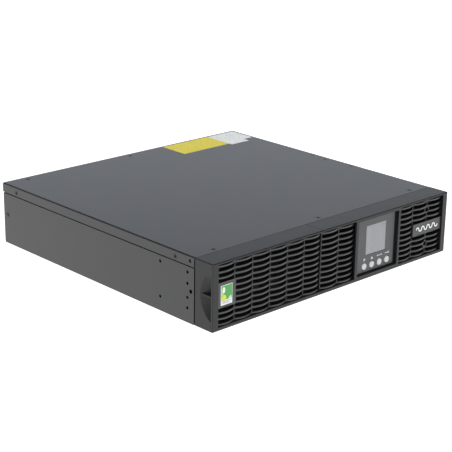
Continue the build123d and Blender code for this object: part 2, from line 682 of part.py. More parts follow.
def battery(row):
    """One sealed lead-acid block, its terminals facing the rear."""
    width, length, height = BATTERY
    middle = (TRAY[0] + TRAY[1]) / 2
    centre_z = TRAY[2] + SHEET + height / 2
    start = BATTERY_FIRST_DEPTH + BATTERY_PITCH * row
    lid_start = start + length - BATTERY_LID
    case = soft_centred(middle, centre_z, width, height, (start, lid_start), 2.0)
    lid = centred(middle, centre_z, width - 2, height - 2, (lid_start, start + length))
    blades = []
    for side in (-1, 1):
        x, depth = terminal_place(row, side)
        blades.append(centred(x, 58.0, 6.3, 0.8, (depth - 1, depth + 5.0)))
    return case + lid + blades


def battery_leads():
    """Series jumpers between the blocks and the two main leads to the plug."""
    high = 72.0
    low_z = 58.4
    plug_depth = 340.5
    plug_top = 55.0
    leads = []
    for row, side in ((0, 1), (1, -1)):
        x, depth = blade_tip(row, side)
        next_depth = blade_tip(row + 1, side)[1]
        route = [(x, depth, low_z), (x, depth, high), (x, next_depth, high), (x, next_depth, low_z)]
        leads.append(wire(route, LEAD_R, 2.6))
    x, depth = blade_tip(0, -1)
    first = [(x, depth, low_z), (x, depth, high), (x + 22, depth + 11.1, high), (x + 22, plug_depth, high)]
    first += [(PLUG_X - 12, plug_depth, 66.0), (PLUG_X - 12, plug_depth, plug_top)]
    leads.append(wire(first, LEAD_R, 2.6))
    x, depth = blade_tip(2, 1)
    last = [(x, depth, low_z), (x, depth, high), (x - 20, plug_depth, high)]
    last += [(PLUG_X + 12, plug_depth, 66.0), (PLUG_X + 12, plug_depth, plug_top)]
    leads.append(wire(last, LEAD_R, 2.4))
    return Compound(leads)


def battery_plug():
    """The tray's half of the battery connector, fixed in the tray's rear wall."""
    housing = centred(PLUG_X, PLUG_Z, 44, 18, (336, 354))
    flange = centred(PLUG_X, PLUG_Z, 54, 18, (TRAY_BACK_DEPTH - SHEET - 3, TRAY_BACK_DEPTH - SHEET))
    plug = housing + flange
    for side in (-1, 1):
        plug -= centred(PLUG_X + side * 12, PLUG_Z, 14, 9, (346, 360))
        plug += centred(PLUG_X + side * 12, PLUG_Z, 8, 2, (345, 353))
    return plug


def battery_socket():
    """The chassis half, fixed in the bulkhead behind the bay."""
    socket = centred(PLUG_X, PLUG_Z, 44, 18, (354.2, 372))
    socket += centred(PLUG_X, PLUG_Z, 54, 22, (BULKHEAD_DEPTH + SHEET, BULKHEAD_DEPTH + SHEET + 3))
    for side in (-1, 1):
        socket += centred(PLUG_X + side * 12, PLUG_Z, 13, 8, (347, 355)) - centred(
            PLUG_X + side * 12, PLUG_Z, 9, 3, (340, 354))
    return socket


def thumb_screw(x):
    """Knurled captive screw that holds the tray."""
    start = 24.6
    head = rod_y(x, THUMB_SCREW_Z, (start, 30.0), 4.4)
    grooves = []
    for k in range(18):
        angle = radians(20 * k)
        groove_x = x + 4.6 * cos(angle)
        groove_z = THUMB_SCREW_Z + 4.6 * sin(angle)
        grooves.append(rod_y(groove_x, groove_z, (start - 1, 28.8), 0.45))
    slot = centred(x, THUMB_SCREW_Z, 7, 1.2, (start - 1, start + 1.2))
    return head - (grooves + [slot]) + rod_y(x, THUMB_SCREW_Z, (29, 38.0), 2.0)


# ---- Rear panel equipment ----
def rear_screw_places():
    """Round-headed screws on the rear panel: fan, slot cover and earth."""
    half = FAN_HOLE_SPACING / 2
    places = [(FAN_X + a * half, FAN_Z + b * half) for a in (-1, 1) for b in (-1, 1)]
    x, z, width, _ = SLOT_COVER
    places += [(x - width / 2 + 5, z), (x + width / 2 - 5, z)]
    places.append((-78.0, 27.0))
    return places


def socket_shape(x, z, width, height, depths, corner=5.0):
    """A six-sided socket outline: a rectangle with its two upper corners cut off."""
    solid = centred(x, z, width, height, depths)
    top = [edge for edge in edges_along(solid, Axis.Y) if edge.center().Z > z]
    return chamfer(top, corner)


def outlet(x, z):
    """IEC 60320 sheet F outlet: a tongue with three slots inside a moat."""
    flange = soft_centred(x, z, *SOCKET_FLANGE, (428.0, 429.5), 2.5)
    body = flange + centred(x, z, *SOCKET_BODY, (403, 428.5))
    moat = socket_shape(x, z, 27.4, 19.4, (411, 432)) - socket_shape(x, z, 23.6, 15.6, (400, 432))
    slots = [centred(x, z + 2.6, 2.4, 4.6, (413, 432))]
    slots += [centred(x + side * 7.0, z - 2.0, 2.4, 4.6, (413, 432)) for side in (-1, 1)]
    return body - ([moat] + slots)


def outlet_bank(z):
    return Compound([outlet(x, z) for x in OUTLET_XS])


def power_inlet():
    """IEC C14 inlet with its three pins."""
    x = INLET_X
    z = UPPER_ROW_Z
    flange = soft_centred(x, z, *SOCKET_FLANGE, (428.0, 430.0), 2.5)
    inlet = flange + centred(x, z, *SOCKET_BODY, (403, 428.5))
    inlet -= socket_shape(x, z, 24.8, 16.8, (413, 432))
    pins = [centred(x, z + 2.6, 2.0, 4.0, (402, 425))]
    pins += [centred(x + side * 7.0, z - 2.0, 2.0, 4.0, (402, 425)) for side in (-1, 1)]
    return inlet + pins


def circuit_breaker():
    """Input breaker: threaded neck, hexagonal face nut and a body behind the panel."""
    x = INLET_X
    z = LOWER_ROW_Z
    breaker = centred(x, z, 30, 20, (400, 426.8)) + rod_y(x, z, (426, 429.6), 8.0)
    nut = at(x, 428.0, z) * OUT_REAR * extrude(RegularPolygon(10.5, 6), 1.4)
    return breaker + nut - rod_y(x, z, (415, 440), 5.2)


def breaker_button():
    """Reset button, which springs out when the breaker trips."""
    tip = BODY_DEPTH + REAR_PROUD
    stem = rod_y(INLET_X, LOWER_ROW_Z, (416, tip), 4.9)
    return fillet(stem.edges().sort_by(Axis.Y)[-1:], 1.0)


def serial_port():
    """Nine-way D connector: flange, hollow shell, pins and jack posts."""
    x = SERIAL_X
    z = PORT_BOARD_Z + 8.4
    port = centred(x, z, 30.8, 12.4, (425.8, 428.4)) + centred(x, z, 24, 10, (412, 426))
    shell = soft_centred(x, z, 18.0, 8.8, (428, 433.0), 2.0)
    port += shell - soft_centred(x, z, 16.4, 7.2, (427, 440), 1.6)
    for k in range(9):
        upper = k < 5
        column = k if upper else k - 4.5
        pin_z = z + (1.4 if upper else -1.4)
        port += rod_y(x - 5.5 + 2.75 * column, pin_z, (428, 432.4), 0.5)
    for side in (-1, 1):
        post = at(x + side * 12.5, 428.0, z) * OUT_REAR * extrude(RegularPolygon(2.9, 6), 4.5)
        port += post - rod_y(x + side * 12.5, z, (429, 440), 1.3)
    return port


def usb_port():
    """USB type B receptacle with its tongue."""
    x = USB_X
    z = PORT_BOARD_Z + 7.1
    port = centred(x, z, 12.0, 11.0, (412, 429.0))
    port -= socket_shape(x, z, 8.6, 7.9, (418, 440), corner=1.2)
    return port + centred(x, z, 5.6, 3.2, (416, 427.5))


def network_ports():
    """Paired surge-protected network jacks."""
    x = NETWORK_X
    z = PORT_BOARD_Z + 8.6
    ports = centred(x, z, 32.0, 13.8, (412, 429.0))
    for side in (-1, 1):
        ports -= centred(x + side * 8, z + 0.6, 11.8, 6.8, (416, 440))
        ports -= centred(x + side * 8, z - 3.8, 6.2, 3.4, (416, 440))
    return ports


def slot_cover():
    """Blank plate over the accessory card slot."""
    x, z, width, height = SLOT_COVER
    plate = soft_centred(x, z, width, height, (428.0, 429.2), 2.0)
    return plate - [rod_y(x + side * (width / 2 - 5), z, (420, 440), 1.75) for side in (-1, 1)]


def rear_screws():
    """M3 screws; each seats on whatever it clamps to the panel."""
    seats = [429.6] * 4 + [429.2] * 2 + [428.0]
    screw = pan_screw(2.9, 1.9, 1.55, 8.0)
    return Compound([at(x, seat, z) * OUT_REAR * screw for (x, z), seat in zip(rear_screw_places(), seats)])


def fan_guard():
    """Stamped finger guard: rings on four arms that end in screw eyes."""
    guard = Circle(38.0) - Circle(36.2)
    for radius in (12.0, 18.0, 24.0, 30.0):
        guard += Circle(radius + 0.8) - Circle(radius - 0.8)
    guard += Circle(6.0)
    reach = FAN_HOLE_SPACING / 2 * 2 ** 0.5
    for angle in (45, 135, 225, 315):
        turn = Rot(0, 0, angle)
        guard += turn * Pos((reach + 4) / 2, 0) * Rectangle(reach - 4, 2.4)
        guard += turn * Pos(reach, 0) * Circle(4.6)
        guard -= turn * Pos(reach, 0) * Circle(1.75)
    return at(FAN_X, REAR_PANEL[1], FAN_Z) * OUT_REAR * extrude(guard, 1.6)


def fan_frame():
    """Square fan housing with its bore, corner holes and motor mount."""
    x, z = FAN_X, FAN_Z
    front, back = FAN_DEPTHS
    frame = soft_centred(x, z, FAN_SIDE, FAN_SIDE, FAN_DEPTHS, 3.5)
    frame -= rod_y(x, z, (front - 1, back + 1), 38.5)
    for angle in (20, 110, 200, 290):
        spoke = Rot(0, 0, angle) * Pos(26, 0, 0) * Box(28, 3, 3)
        frame += at(x, front + 1.5, z) * Rot(90, 0, 0) * spoke
    frame += rod_y(x, z, (front, front + 3), 16.0)
    frame -= rod_y(x, z, (front - 1, front + 4), 1.55)
    frame -= [rod_y(px, pz, (front - 1, back + 1), 2.15) for px, pz in rear_screw_places()[:4]]
    return frame


def fan_rotor():
    """Hub with seven pitched blades and the shaft that turns in the motor mount."""
    blades = 7
    front, back = FAN_DEPTHS
    hub = Cylinder(15.5, 18)
    hub = fillet(hub.edges().sort_by(Axis.Z)[-1:], 2.0)
    blade = Pos(25.5, 0, 0) * Rot(38, 0, 0) * Box(22, 20, 1.4)
    blade &= Cylinder(36.5, 17)
    rotor = hub + [Rot(0, 0, 360 / blades * k) * blade for k in range(blades)]
    rotor += Pos(0, 0, -11) * Cylinder(1.5, 5)
    middle = (front + back) / 2 + 1.0
    return at(FAN_X, middle, FAN_Z) * OUT_REAR * rotor


# ---- Electronics ----
def power_board():
    xs = BOARD[:2]
    depths = BOARD[2:]
    board = block(xs, depths, BOARD_Z)
    return board - [rod_z(x, d, (0, 20), 1.6) for x, d in board_hole_places()]


def board_hole_places():
    inset = 8
    xs = (BOARD[0] + inset, (BOARD[0] + BOARD[1]) / 2, BOARD[1] - inset)
    depths = (BOARD[2] + inset, (BOARD[2] + BOARD[3]) / 2, BOARD[3] - inset)
    return [(x, d) for x in xs for d in depths]


def board_standoffs():
    """Pillars under the power and port boards and behind the front plate."""
    pillars = [rod_z(x, d, (SHEET, BOARD_Z[0]), 3.0) for x, d in board_hole_places()]
    pillars += [rod_z(x, d, (SHEET, PORT_BOARD_Z), 3.0) for x in (-196, -98) for d in (390, 405)]
    pillars += [rod_y(x, z, (FRONT_PLATE[1], 50), 2.5) for x in (52, 104) for z in (17, 70)]
    return Compound(pillars)


def heatsink(x, direction, length, start_depth, height, fin_reach):
    """Extruded heatsink standing on the board: an upright web with level fins."""
    low = BOARD_Z[1]
    web = sorted((x, x + direction * 4))
    sink = block(web, (start_depth, start_depth + length), (low, low + height))
    fins = int(height / 7)
    for k in range(fins):
        z = low + 4 + 7 * k
        reach = sorted((x, x + direction * fin_reach))
        sink += block(reach, (start_depth, start_depth + length), (z, z + 1.6))
    return sink


def power_transistors():
    """Flat power packages clamped to both heatsinks."""
    packages = []
    for x, side, start, count in ((150.0, -1, 130, 8), (104.0, 1, 165, 4)):
        for k in range(count):
            depth = start + 24 * k
            xs = sorted((x, x + side * 4.6))
            package = block(xs, (depth, depth + 15.6), (22, 42))
            legs = [block((xs[0] + 1.8, xs[1] - 1.8), (depth + 2 + 5 * leg, depth + 3.2 + 5 * leg),
                          (BOARD_Z[1], 22)) for leg in range(3)]
            packages.append(package + legs)
    return Compound(packages)


def bulk_capacitors():
    """Tall electrolytic capacitors between the heatsinks."""
    cans = []
    for k in range(4):
        can = rod_z(127.0, 125 + 34 * k, (BOARD_Z[1], BOARD_Z[1] + 48), 14.5)
        can = fillet(can.edges().sort_by(Axis.Z)[-1:], 1.5)
        cans.append(can)
    return Compound(cans)


def filter_inductors():
    """Toroidal chokes lying on the board."""
    chokes = []
    for depth in (95, 145, 195):
        ring = rod_z(14.0, depth, (BOARD_Z[1], BOARD_Z[1] + 20), 22) - rod_z(14.0, depth, (0, 60), 9)
        chokes.append(fillet(ring.edges().filter_by(GeomType.CIRCLE), 4.0))
    return Compound(chokes)


def transformer():
    """Ferrite core around its taped winding."""
    low = BOARD_Z[1]
    core = block((-14, 46), (250, 300), (low, low + 46))
    core -= block((-4, 36), (249, 301), (low + 9, low + 37))
    winding = soft_centred(16, low + 23, 39, 27, (242, 308), 6)
    return Compound([core, winding])


def control_board():
    """Logic board on pillars behind the front plate, with the display's header."""
    board = block((46, 110), (50, 51.6), (11.5, 76))
    return Compound([board, centred(DISPLAY_X, 44.0, 26, 7, (46.8, 50.0))])


def port_board():
    """Small board that carries the data connectors."""
    return block((-202, -92), (385, 425), (PORT_BOARD_Z, PORT_BOARD_Z + 1.6))


def internal_leads():
    """Leads from the battery socket, the mains inlet and the fan to the power board."""
    board_top = BOARD_Z[1]
    leads = []
    for side in (-1, 1):
        x = PLUG_X + 12 * side
        landing_x = -28 + 6 * side
        back = 384 - 4 * side
        route = [(x, 372, PLUG_Z), (x, back, PLUG_Z), (landing_x, back, PLUG_Z)]
        route.append((landing_x, back, board_top))
        leads.append(wire(route, LEAD_R, 6))
    for side in (-1, 1):
        x = INLET_X + 7 * side
        route = [(x, 402, 58), (x, 392, 58), (x + 44, 392, 30), (x + 44, 392, board_top)]
        leads.append(wire(route, 1.4, 4))
    fan_route = [(134, FAN_DEPTHS[0], 14), (134, 388, 14), (134, 388, board_top)]
    leads.append(wire(fan_route, 1.0, 2.0))
    return Compound(leads)


# ---- Write every sub-part ----
def sub_parts():
    parts = {
        "chassis_base": chassis_base(),
        "front_plate": front_plate(),
        "rear_panel": rear_panel(),
        "top_cover": top_cover(),
        "top_labels": top_labels(),
        "bay_divider": bay_divider(),
        "case_screws": case_screws(),
        "ear_nuts": ear_nuts(),
        "front_bezel": front_bezel(),
        "middle_grille": middle_grille(),
        "right_grille": right_grille(),
        "wave_mark": wave_mark(),
        "bezel_screws": bezel_screws(),
        "battery_cover": battery_cover(),
        "cover_grille": cover_grille(),
        "badge": badge(),
        "display_housing": display_housing(),
        "display_window": display_window(),
        "display_panel": display_panel(),
        "display_board": display_board(),
        "display_switches": display_switches(),
        "display_ribbon": display_ribbon(),
        "battery_tray": battery_tray(),
        "tray_handle": tray_handle(),
        "battery_leads": battery_leads(),
        "battery_plug": battery_plug(),
        "battery_socket": battery_socket(),
        "tray_screw_left": thumb_screw(THUMB_SCREW_XS[0]),
        "tray_screw_right": thumb_screw(THUMB_SCREW_XS[1]),
        "power_inlet": power_inlet(),
        "outlet_bank_upper": outlet_bank(UPPER_ROW_Z),
        "outlet_bank_lower": outlet_bank(LOWER_ROW_Z),
        "circuit_breaker": circuit_breaker(),
        "breaker_button": breaker_button(),
        "serial_port": serial_port(),
        "usb_port": usb_port(),
        "network_ports": network_ports(),
        "slot_cover": slot_cover(),
        "rear_screws": rear_screws(),
        "fan_guard": fan_guard(),
        "fan_frame": fan_frame(),
        "fan_rotor": fan_rotor(),
        "power_board": power_board(),
        "board_standoffs": board_standoffs(),
        "inverter_heatsink": heatsink(150.0, 1, 220, 120, 60, 48),
        "charger_heatsink": heatsink(104.0, -1, 120, 150, 46, 34),
        "power_transistors": power_transistors(),
        "bulk_capacitors": bulk_capacitors(),
        "filter_inductors": filter_inductors(),
        "transformer": transformer(),
        "control_board": control_board(),
        "port_board": port_board(),
        "internal_leads": internal_leads(),
    }
    for row in range(3):
        parts[f"battery_{row + 1}"] = battery(row)
    for number, x in enumerate(BUTTON_XS, start=1):
        parts[f"button_{number}"] = button(x)
    return parts


os.makedirs("parts", exist_ok=True)
for name, shape in sub_parts().items():
    export_step(shape, f"parts/{name}.step")
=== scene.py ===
import json
import math

import bpy
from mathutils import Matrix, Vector


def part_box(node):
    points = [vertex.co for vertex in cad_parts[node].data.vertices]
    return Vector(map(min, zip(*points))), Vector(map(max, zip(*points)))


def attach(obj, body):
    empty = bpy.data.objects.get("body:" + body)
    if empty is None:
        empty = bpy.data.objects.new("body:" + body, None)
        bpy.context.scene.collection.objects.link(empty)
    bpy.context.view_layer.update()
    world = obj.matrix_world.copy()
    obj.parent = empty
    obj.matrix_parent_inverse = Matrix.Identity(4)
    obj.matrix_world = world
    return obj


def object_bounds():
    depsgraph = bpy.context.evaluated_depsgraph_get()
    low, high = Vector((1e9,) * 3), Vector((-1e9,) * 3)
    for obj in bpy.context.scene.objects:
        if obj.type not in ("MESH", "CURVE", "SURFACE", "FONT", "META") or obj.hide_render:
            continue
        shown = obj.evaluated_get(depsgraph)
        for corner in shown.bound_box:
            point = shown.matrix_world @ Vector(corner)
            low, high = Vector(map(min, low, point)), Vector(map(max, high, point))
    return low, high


# Looks of a 2U rack or tower uninterruptible power supply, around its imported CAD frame.
# Metres, the CAD's own frame: the front faces -Y, +X is right seen from the front, +Z is up.
# "Depth" is measured back from the bezel's front face, in millimetres, as the CAD does.

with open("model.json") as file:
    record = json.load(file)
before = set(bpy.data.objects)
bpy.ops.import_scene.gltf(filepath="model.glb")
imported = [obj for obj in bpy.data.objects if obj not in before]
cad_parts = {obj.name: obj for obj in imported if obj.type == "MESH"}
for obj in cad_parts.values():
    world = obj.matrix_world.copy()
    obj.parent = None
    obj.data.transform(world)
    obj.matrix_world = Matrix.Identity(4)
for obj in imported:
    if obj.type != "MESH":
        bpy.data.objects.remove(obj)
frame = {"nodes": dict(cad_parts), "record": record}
cad_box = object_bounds()
NODES = frame["nodes"]
MM = 0.001
FRONT_Y = cad_box[0].y
MIX_SHARE, MIX_FIRST, MIX_SECOND = 0, 6, 7      # inputs of a Mix node that mixes colours
MIX_COLOUR = 2                                  # and its output

# ---- Camera and studio ----
CAMERA_AT = (-1.203368, -1.280911, 0.629401)
CAMERA_TURN = (71.1430, -0.8195, -43.0764)      # XYZ Euler angles in degrees
CAMERA_LENS = 106.157                           # mm on a 36 mm sensor
FLOOR_HALF = 20.0
FLOOR_GLOW = 1.08
FLOOR_DROP = 0.0002                             # how far the floor lies under the object
WORLD_GLOW = 1.32
TOP_LIGHT = 2.15
TOP_LIGHT_FROM = (-0.15, -0.15, 0.98)
TOP_LIGHT_SPREAD = 25                           # degrees
SOFTBOX_TARGET = (0, 0, 0.04)
SOFTBOX_SIZE = (2.4, 0.9)
SOFTBOXES = {                                   # place and power in watts
    "left_softbox": ((-2.6, 0.3, 0.55), 6),
    "front_softbox": ((-0.4, -2.8, 0.7), 14),
}
# The studio's colour by the sine of the angle above the horizon.
BACK_WALL = [
    (0.00, (1.0, 1.0, 1.0)),
    (0.16, (0.665, 0.70, 0.74)),
    (0.38, (0.59, 0.64, 0.72)),
    (0.47, (0.06, 0.065, 0.07)),
    (1.00, (0.07, 0.07, 0.075)),
]
SIDE_WALLS = [
    (0.00, (1.0, 1.0, 1.0)),
    (0.10, (0.72, 0.72, 0.74)),
    (0.22, (0.40, 0.41, 0.43)),
    (0.36, (0.30, 0.31, 0.33)),
    (0.46, (0.06, 0.06, 0.065)),
    (1.00, (0.07, 0.07, 0.075)),
]
BACK_WALL_EDGE = (0.2, 0.7)                     # of x + y: where the side walls turn into the back wall


def make_camera():
    """The photograph's viewpoint, found from the object's outline and long edges."""
    data = bpy.data.cameras.new("camera")
    data.lens = CAMERA_LENS
    data.clip_start = 0.05
    data.clip_end = 100.0
    camera = bpy.data.objects.new("camera", data)
    camera.location = CAMERA_AT
    camera.rotation_euler = [math.radians(angle) for angle in CAMERA_TURN]
    bpy.context.scene.collection.objects.link(camera)
    bpy.context.scene.camera = camera


def make_world():
    """A studio with a bright wall behind the object, dimmer walls elsewhere and a dark ceiling."""
    world = bpy.data.worlds.new("studio")
    bpy.context.scene.world = world
    world.use_nodes = True
    tree = world.node_tree
    background = tree.nodes["Background"]
    direction = tree.nodes.new("ShaderNodeTexCoord")
    split = tree.nodes.new("ShaderNodeSeparateXYZ")
    tree.links.new(direction.outputs["Generated"], split.inputs[0])
    back_wall = world_ramp(tree, split.outputs["Z"], BACK_WALL)
    side_walls = world_ramp(tree, split.outputs["Z"], SIDE_WALLS)
    behind = tree.nodes.new("ShaderNodeMath")
    behind.operation = "ADD"
    tree.links.new(split.outputs["X"], behind.inputs[0])
    tree.links.new(split.outputs["Y"], behind.inputs[1])
    share = tree.nodes.new("ShaderNodeMapRange")
    share.inputs["From Min"].default_value = BACK_WALL_EDGE[0]
    share.inputs["From Max"].default_value = BACK_WALL_EDGE[1]
    tree.links.new(behind.outputs[0], share.inputs["Value"])
    walls = tree.nodes.new("ShaderNodeMix")
    walls.data_type = "RGBA"
    tree.links.new(share.outputs["Result"], walls.inputs[MIX_SHARE])
    tree.links.new(side_walls, walls.inputs[MIX_FIRST])
    tree.links.new(back_wall, walls.inputs[MIX_SECOND])
    tree.links.new(walls.outputs[MIX_COLOUR], background.inputs["Color"])
    background.inputs["Strength"].default_value = WORLD_GLOW


def world_ramp(tree, value, stops):
    """A colour ramp in the world's node tree."""
    ramp = tree.nodes.new("ShaderNodeValToRGB")
    set_stops(ramp, stops)
    tree.links.new(value, ramp.inputs["Fac"])
    return ramp.outputs["Color"]


def set_stops(ramp, stops):
    """Colour stops of a ramp node: (place, colour)."""
    elements = ramp.color_ramp.elements
    while len(elements) > 1:
        elements.remove(elements[-1])
    elements[0].position = stops[0][0]
    elements[0].color = (*stops[0][1], 1)
    for place, colour in stops[1:]:
        element = elements.new(place)
        element.color = (*colour, 1)


def make_floor():
    """A pale floor that glows, so that it renders as an even background."""
    graph = Graph("pale_floor")
    grain = graph.noise(scale=3.0, detail=2.0)
    tint = graph.ramp(grain, [(0.3, (0.30, 0.30, 0.30)), (0.7, (0.33, 0.33, 0.33))])
    graph.join(tint, "Base Color")
    graph.put("Roughness", 0.8)
    graph.put("Specular IOR Level", 0.2)
    graph.put("Emission Color", (1.0, 1.0, 1.0, 1.0))
    graph.put("Emission Strength", FLOOR_GLOW)
    mesh = bpy.data.meshes.new("floor")
    low_z = cad_box[0].z - FLOOR_DROP
    signs = ((-1, -1), (1, -1), (1, 1), (-1, 1))
    corners = [(x * FLOOR_HALF, y * FLOOR_HALF, low_z) for x, y in signs]
    mesh.from_pydata(corners, [], [(0, 1, 2, 3)])
    floor = bpy.data.objects.new("floor", mesh)
    floor.data.materials.append(graph.material)
    bpy.context.scene.collection.objects.link(floor)


def make_softbox(name, at, watts):
    """A rectangular light that points at the object."""
    data = bpy.data.lights.new(name, "AREA")
    data.shape = "RECTANGLE"
    data.size, data.size_y = SOFTBOX_SIZE
    data.energy = watts
    light = bpy.data.objects.new(name, data)
    light.location = at
    aim = Vector(SOFTBOX_TARGET) - Vector(at)
    light.rotation_euler = aim.to_track_quat("-Z", "Y").to_euler()
    bpy.context.scene.collection.objects.link(light)


def make_top_light():
    """A broad light straight above, leaning a little towards the camera."""
    data = bpy.data.lights.new("top_light", "SUN")
    data.energy = TOP_LIGHT
    data.angle = math.radians(TOP_LIGHT_SPREAD)
    light = bpy.data.objects.new("top_light", data)
    light.rotation_euler = Vector(TOP_LIGHT_FROM).to_track_quat("Z", "Y").to_euler()
    bpy.context.scene.collection.objects.link(light)


# ---- Material building ----
LABEL_SPLIT_X = 0.1599           # where the yellow sticker ends and the white ones start
LABEL_ROW = 0.0046               # pitch of the rows of bars on the stickers
LABEL_BAR = 0.32                 # height of a bar, as a share of the pitch
LABEL_INK = (0.25, 0.45)         # strength of the bars on yellow and on white
WEAR_REACH = 0.0006              # how near to an edge its coat is rubbed
EDGE_TURN = (0.72, 0.985)        # cosine of how far normals turn there: at a sharp edge, at a flat face


class Graph:
    """A material's node tree, with short ways to add nodes and join them."""

    def __init__(self, name):
        self.material = bpy.data.materials.new(name)
        self.material.use_nodes = True
        self.tree = self.material.node_tree
        self.shader = self.tree.nodes["Principled BSDF"]
        self.places = self.add("ShaderNodeTexCoord").outputs["Object"]

    def add(self, kind):
        """Adds a node."""
        return self.tree.nodes.new(kind)

    def put(self, socket, value):
        """Sets one of the shader's own sockets, for what is the same all over the surface."""
        self.shader.inputs[socket].default_value = value

    def join(self, output, socket):
        """Joins an output to one of the shader's sockets."""
        self.tree.links.new(output, self.shader.inputs[socket])

    def link(self, output, target):
        """Joins an output to any input."""
        self.tree.links.new(output, target)

    def stretched(self, scale):
        """Object coordinates scaled unevenly."""
        mapping = self.add("ShaderNodeMapping")
        mapping.inputs["Scale"].default_value = scale
        self.link(self.places, mapping.inputs["Vector"])
        return mapping.outputs["Vector"]

    def noise(self, scale, detail=3.0, places=None, rough=0.5):
        """Cloudy variation around 0.5."""
        node = self.add("ShaderNodeTexNoise")
        node.inputs["Scale"].default_value = scale
        node.inputs["Detail"].default_value = detail
        node.inputs["Roughness"].default_value = rough
        self.link(places or self.places, node.inputs["Vector"])
        return node.outputs["Fac"]

    def cells(self, scale, feature="F1", output="Distance"):
        """Random cells: the distance to a point or an edge, or a colour for each cell."""
        node = self.add("ShaderNodeTexVoronoi")
        node.feature = feature
        node.inputs["Scale"].default_value = scale
        self.link(self.places, node.inputs["Vector"])
        return node.outputs[output]

    def ramp(self, value, stops):
        """Colours along a value, from stops of (place, colour)."""
        node = self.add("ShaderNodeValToRGB")
        set_stops(node, stops)
        self.link(value, node.inputs["Fac"])
        return node.outputs["Color"]

    def span(self, value, low, high, start=0.0, end=1.0):
        """The value's range start..end mapped to low..high."""
        node = self.add("ShaderNodeMapRange")
        node.inputs["From Min"].default_value = start
        node.inputs["From Max"].default_value = end
        node.inputs["To Min"].default_value = low
        node.inputs["To Max"].default_value = high
        self.link(value, node.inputs["Value"])
        return node.outputs["Result"]

    def maths(self, operation, a, b):
        """One calculation on two values, each a number or an output."""
        node = self.add("ShaderNodeMath")
        node.operation = operation
        for socket, value in zip(node.inputs, (a, b)):
            if isinstance(value, float):
                socket.default_value = value
            else:
                self.link(value, socket)
        return node.outputs[0]

    def mixed(self, share, a, b):
        """Colour a turned into colour b by a share, each a colour or an output."""
        node = self.add("ShaderNodeMix")
        node.data_type = "RGBA"
        for number, value in ((MIX_SHARE, share), (MIX_FIRST, a), (MIX_SECOND, b)):
            socket = node.inputs[number]
            if isinstance(value, float):
                socket.default_value = value
            elif isinstance(value, tuple):
                socket.default_value = (*value, 1)
            else:
                self.link(value, socket)
        return node.outputs[MIX_COLOUR]

    def bump(self, height, strength, distance):
        """Fine relief from a height pattern."""
        node = self.add("ShaderNodeBump")
        node.inputs["Strength"].default_value = strength
        node.inputs["Distance"].default_value = distance
        self.link(height, node.inputs["Height"])
        self.join(node.outputs["Normal"], "Normal")

    def edges(self, radius):
        """How near a sharp edge is: 0 on flat faces, up to 1 on edges."""
        bevel = self.add("ShaderNodeBevel")
        bevel.samples = 4
        bevel.inputs["Radius"].default_value = radius
        geometry = self.add("ShaderNodeNewGeometry")
        dot = self.add("ShaderNodeVectorMath")
        dot.operation = "DOT_PRODUCT"
        self.link(bevel.outputs["Normal"], dot.inputs[0])
        self.link(geometry.outputs["Normal"], dot.inputs[1])
        return self.span(dot.outputs["Value"], 1.0, 0.0, *EDGE_TURN)


def scaled(colour, factor):
    """A lighter or darker colour."""
    return tuple(part * factor for part in colour)


def textured_coat(name, colour, roughness, grain=2600.0, specular=0.5, wear=0.25):
    """Powder coat or moulded plastic: fine grain, faint clouding and rubbed edges."""
    graph = Graph(name)
    clouds = graph.noise(scale=9.0, detail=4.0)
    specks = graph.noise(scale=900.0, detail=2.0)
    base = graph.ramp(clouds, [(0.3, scaled(colour, 0.96)), (0.7, scaled(colour, 1.04))])
    base = graph.mixed(graph.span(specks, 0.0, 0.35, 0.55, 0.75), base, scaled(colour, 1.35))
    rubbed = graph.maths("MULTIPLY", graph.edges(WEAR_REACH), graph.span(clouds, 0.0, wear, 0.35, 0.65))
    graph.join(graph.mixed(rubbed, base, scaled(colour, 3.0)), "Base Color")
    smears = graph.noise(scale=38.0, detail=5.0, rough=0.6)
    graph.join(graph.span(smears, roughness - 0.005, roughness + 0.007, 0.3, 0.7), "Roughness")
    graph.put("Specular IOR Level", specular)
    peel = graph.noise(scale=grain, detail=2.0)
    graph.bump(peel, strength=0.28, distance=0.00006)
    return graph.material


def metal(name, colour, roughness, brushed=None):
    """Bare or plated metal, with a brushed direction if one is given."""
    graph = Graph(name)
    places = graph.stretched(brushed) if brushed else graph.places
    lines = graph.noise(scale=400.0, detail=4.0, places=places)
    stain = graph.noise(scale=14.0, detail=4.0)
    base = graph.ramp(stain, [(0.3, scaled(colour, 0.86)), (0.7, colour)])
    graph.join(base, "Base Color")
    graph.put("Metallic", 1.0)
    graph.join(graph.span(lines, roughness - 0.07, roughness + 0.1, 0.3, 0.7), "Roughness")
    graph.bump(lines, strength=0.12, distance=0.00004)
    return graph.material


def zinc_sheet():
    """Galvanised steel with its crystal spangle."""
    graph = Graph("zinc_sheet")
    spangle = graph.cells(160.0, output="Color")
    fine = graph.noise(scale=500.0, detail=3.0)
    grey = graph.add("ShaderNodeRGBToBW")
    graph.link(spangle, grey.inputs[0])
    base = graph.ramp(grey.outputs[0], [(0.2, (0.42, 0.43, 0.43)), (0.8, (0.56, 0.57, 0.57))])
    graph.join(base, "Base Color")
    graph.put("Metallic", 1.0)
    graph.join(graph.span(grey.outputs[0], 0.34, 0.5), "Roughness")
    graph.bump(fine, strength=0.1, distance=0.00005)
    return graph.material


